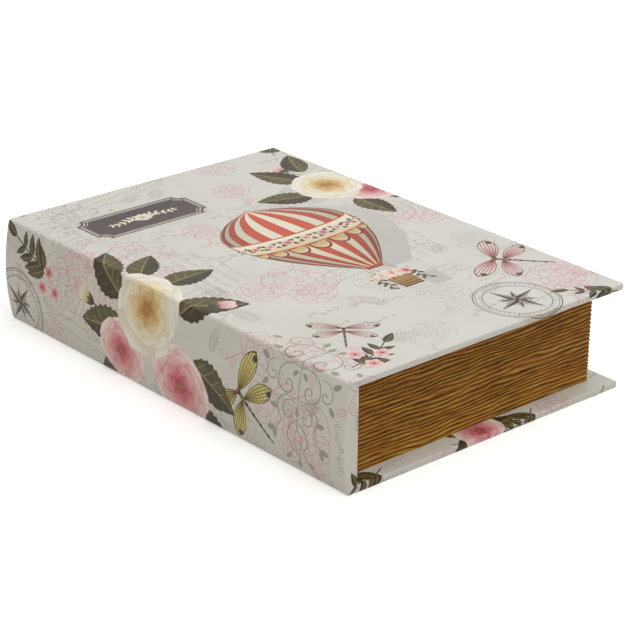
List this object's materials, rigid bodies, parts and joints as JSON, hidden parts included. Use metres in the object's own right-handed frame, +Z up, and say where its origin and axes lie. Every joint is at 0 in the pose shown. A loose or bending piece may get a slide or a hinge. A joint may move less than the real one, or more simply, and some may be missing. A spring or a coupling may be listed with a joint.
{
  "type": "book box",
  "caption": "Keepsake box shaped like a large bound book, with a paper-hinged lid over a tray behind ridged page edges.",
  "frame": {"origin": "centre of the bounding box in X and Y, at the underside of the case", "axes": "+X from the spine to the fore-edge, +Y along the spine from tail to head, +Z up out of the closed lid"},
  "size_m": [0.23, 0.33, 0.07],
  "materials": {
    "cover_print": "printed paper with a satin varnish, off-white with coloured motifs",
    "case_board": "grey-brown board, matte",
    "spine_core": "fibreboard moulding, unfinished",
    "page_edges": "golden-brown embossed paper with long ridges",
    "lining": "plain ivory paper, matte"
  },
  "bodies": {
    "case": {"base_board": "case_board", "spine_board": "spine_core", "base_cover_paper": "cover_print", "spine_cover_paper": "cover_print", "tray_floor": "case_board", "tail_wall": "case_board", "head_wall": "case_board", "fore_edge_wall": "case_board", "spine_side_wall": "case_board", "page_edge_strip": "page_edges", "wall_lining": "lining", "floor_lining": "lining", "hinge_strip_tray_half": "lining"},
    "lid": {"lid_board": "case_board", "lid_cover_paper": "cover_print", "lid_lining": "lining", "hinge_strip_lid_half": "lining"}
  },
  "joints": [
    {"name": "lid_hinge", "type": "hinge", "parent": "case", "child": "lid", "pos_m": [-0.104, 0, 0.07], "axis": [0, -1, 0], "range_deg": [0, 178]}
  ]
}
